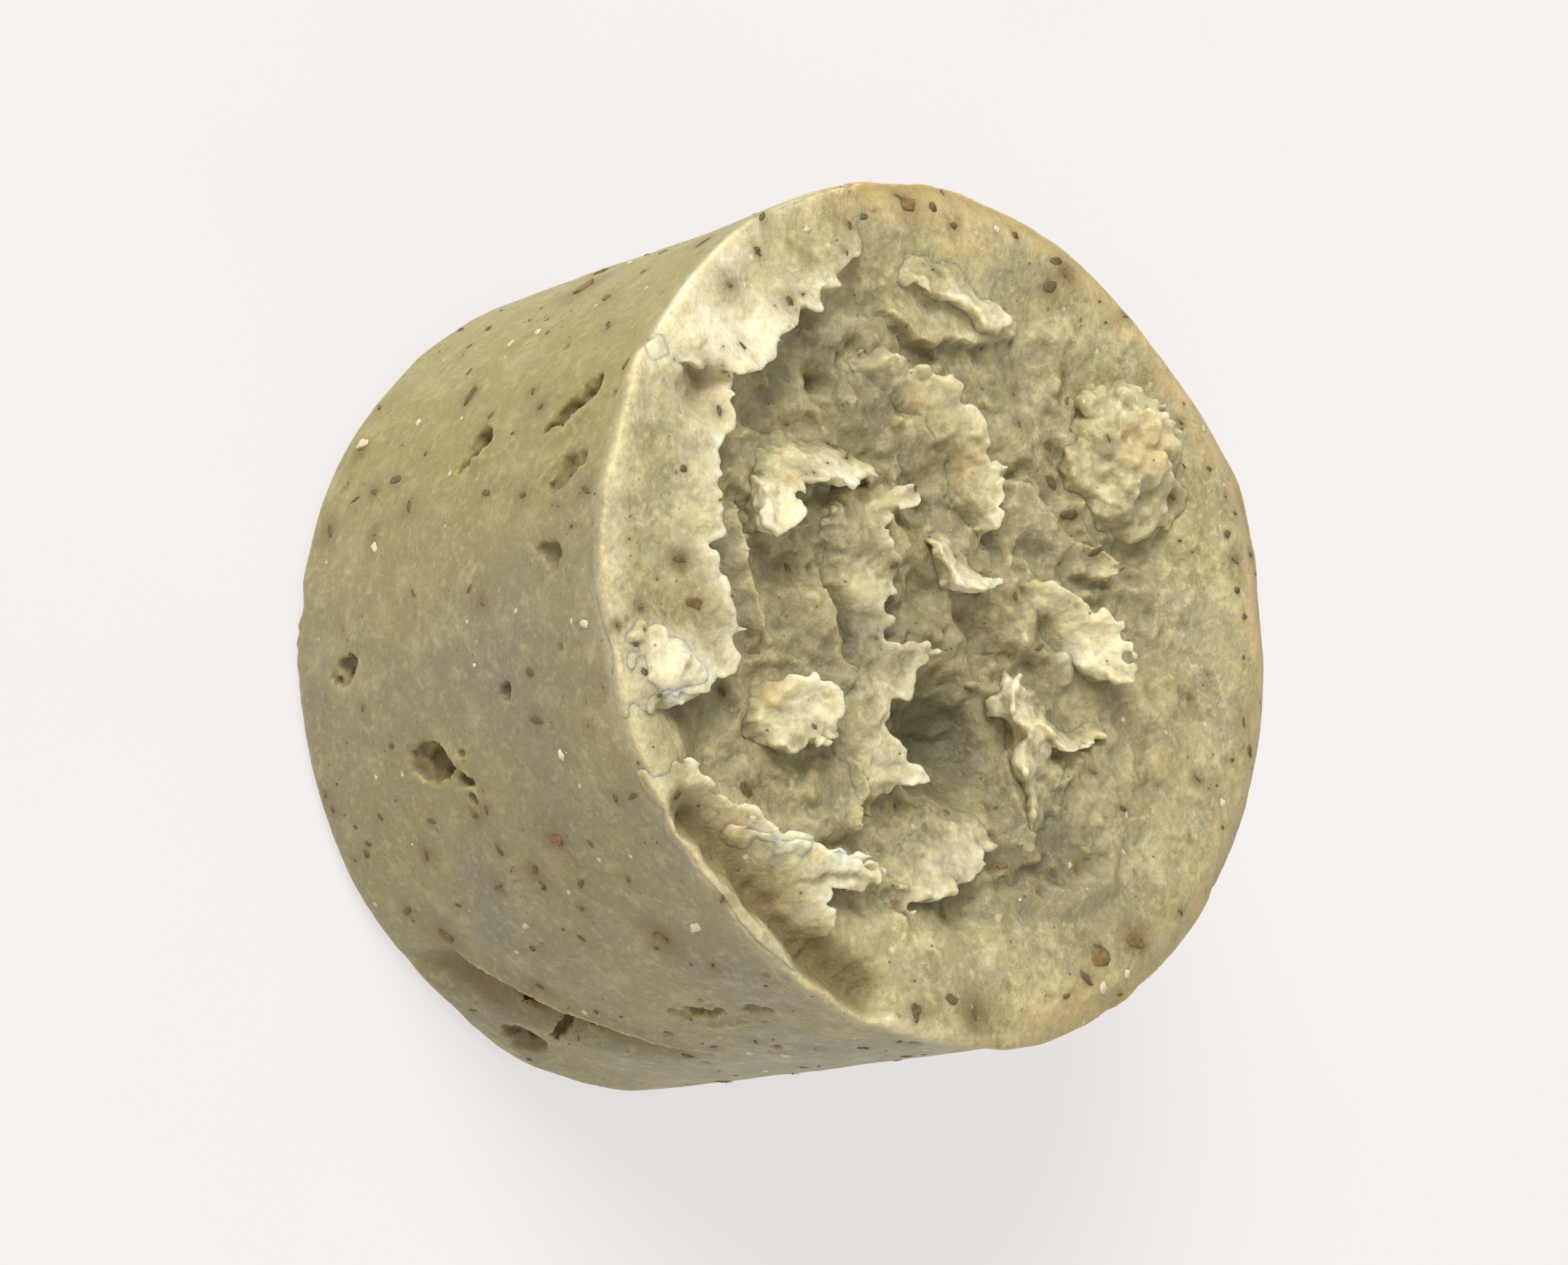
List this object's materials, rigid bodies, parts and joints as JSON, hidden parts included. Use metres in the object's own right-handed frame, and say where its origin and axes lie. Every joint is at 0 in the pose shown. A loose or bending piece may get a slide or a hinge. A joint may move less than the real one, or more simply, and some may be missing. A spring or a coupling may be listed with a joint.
{
  "type": "shaving soap puck",
  "caption": "Rustic cast puck of shaving soap: a near-cylinder with a flat base and a rough, dished top with raised lumps of paste, flecked with chopped leaf, seeds, petals and pale grains.",
  "frame": {"origin": "centre of the flat base, on the surface it stands on", "axes": "+Z along the puck's axis towards its rough top; -Y is the front, where the liner's lap is to the right; +X to the right"},
  "size_m": [0.0672, 0.0666, 0.045],
  "materials": {
    "soap": "waxy satin cold-process soap, grey olive beige, mottled, with a thin pale yellow bloom on the rim",
    "raised_paste": "waxy torn soap paste, pale cream at the crests",
    "dried_leaf": "chopped dried leaf, dark brown green, matt",
    "seed_husk": "small dark seed husk, matt",
    "dried_petal": "dried petal, orange brown, matt",
    "pale_grain": "undissolved pale grain, waxy"
  },
  "bodies": {
    "root": {"soap_body": "soap", "crumb_lump": "raised_paste", "wedge_shard": "raised_paste", "hollow_clump": "raised_paste", "centre_crest": "raised_paste", "centre_curl": "raised_paste", "lower_peak": "raised_paste", "side_ridge": "raised_paste", "diagonal_ridge": "raised_paste", "left_shred": "raised_paste", "arched_ridge": "raised_paste", "torn_shelf": "raised_paste", "near_flap": "raised_paste", "far_flap": "raised_paste", "flap_knob": "raised_paste", "leaf_flecks": "dried_leaf", "seed_specks": "seed_husk", "petal_flecks": "dried_petal", "pale_grains": "pale_grain"}
  },
  "joints": []
}
